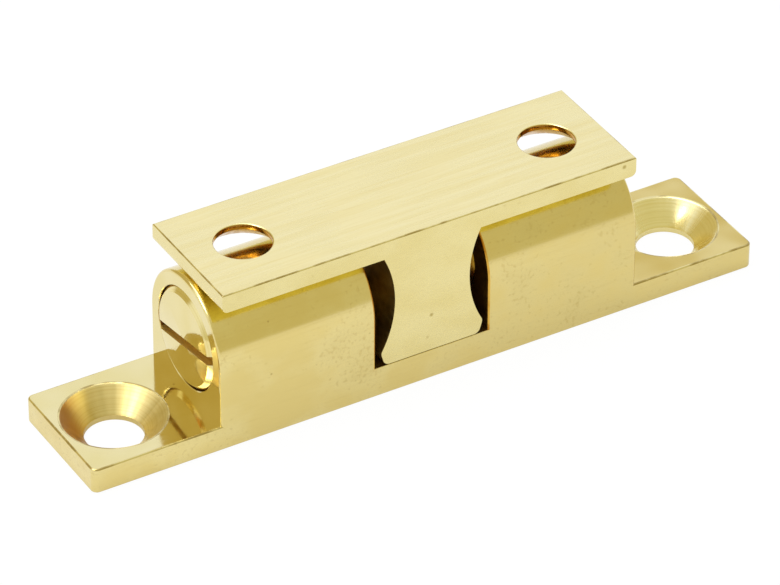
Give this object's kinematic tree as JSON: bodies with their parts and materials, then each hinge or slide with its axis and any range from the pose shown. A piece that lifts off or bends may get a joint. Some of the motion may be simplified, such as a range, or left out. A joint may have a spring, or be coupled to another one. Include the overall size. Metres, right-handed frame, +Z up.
{
  "type": "double ball catch",
  "caption": "Surface-fixed cabinet catch: an arched brass housing with sprung balls grips the waisted tongue of a flat strike plate.",
  "frame": {"origin": "middle of the housing's flat base, the face that is screwed down", "axes": "+X along the housing, +Y across it, +Z up, the way the strike pulls out"},
  "size_m": [0.043, 0.008, 0.0104],
  "materials": {
    "polished_brass": "polished and lacquered",
    "brushed_brass": "fine brushed and lacquered",
    "ball_brass": "ground and polished",
    "screw_brass": "turned",
    "spring_steel": "drawn wire"
  },
  "bodies": {
    "housing": {"housing": "polished_brass"},
    "strike": {"strike": "brushed_brass"},
    "left_ball": {"left_ball": "ball_brass"},
    "right_ball": {"right_ball": "ball_brass"},
    "left_spring": {"left_spring": "spring_steel"},
    "right_spring": {"right_spring": "spring_steel"},
    "left_adjuster": {"left_adjuster": "screw_brass"},
    "right_adjuster": {"right_adjuster": "screw_brass"}
  },
  "joints": [
    {"name": "strike_pull", "type": "slide", "parent": "housing", "child": "strike", "axis": [0, 0, 1], "range_m": [0, 0.0072]},
    {"name": "left_ball_travel", "type": "slide", "parent": "housing", "child": "left_ball", "axis": [-1, 0, 0], "range_m": [0, 0.0028], "deforming": ["left_spring"]},
    {"name": "right_ball_travel", "type": "slide", "parent": "housing", "child": "right_ball", "axis": [1, 0, 0], "range_m": [0, 0.0028], "deforming": ["right_spring"]},
    {"name": "left_adjuster_feed", "type": "slide", "parent": "housing", "child": "left_spring", "axis": [1, 0, 0], "range_m": [0, 0.0006], "deforming": ["left_spring"]},
    {"name": "right_adjuster_feed", "type": "slide", "parent": "housing", "child": "right_spring", "axis": [-1, 0, 0], "range_m": [0, 0.0006], "deforming": ["right_spring"]},
    {"name": "left_adjuster_turn", "type": "hinge", "parent": "left_spring", "child": "left_adjuster", "pos_m": [-0.01285, 0, 0.00515], "axis": [1, 0, 0], "range_deg": [0, 360]},
    {"name": "right_adjuster_turn", "type": "hinge", "parent": "right_spring", "child": "right_adjuster", "pos_m": [0.01285, 0, 0.00515], "axis": [-1, 0, 0], "range_deg": [0, 360]}
  ],
  "couplings": [
    {"joint": "left_ball_travel", "follows": "strike_pull", "ratio": 0.375},
    {"joint": "right_ball_travel", "follows": "strike_pull", "ratio": 0.375},
    {"joint": "left_adjuster_turn", "follows": "left_adjuster_feed", "rad_per_m": 10472},
    {"joint": "right_adjuster_turn", "follows": "right_adjuster_feed", "rad_per_m": 10472}
  ]
}
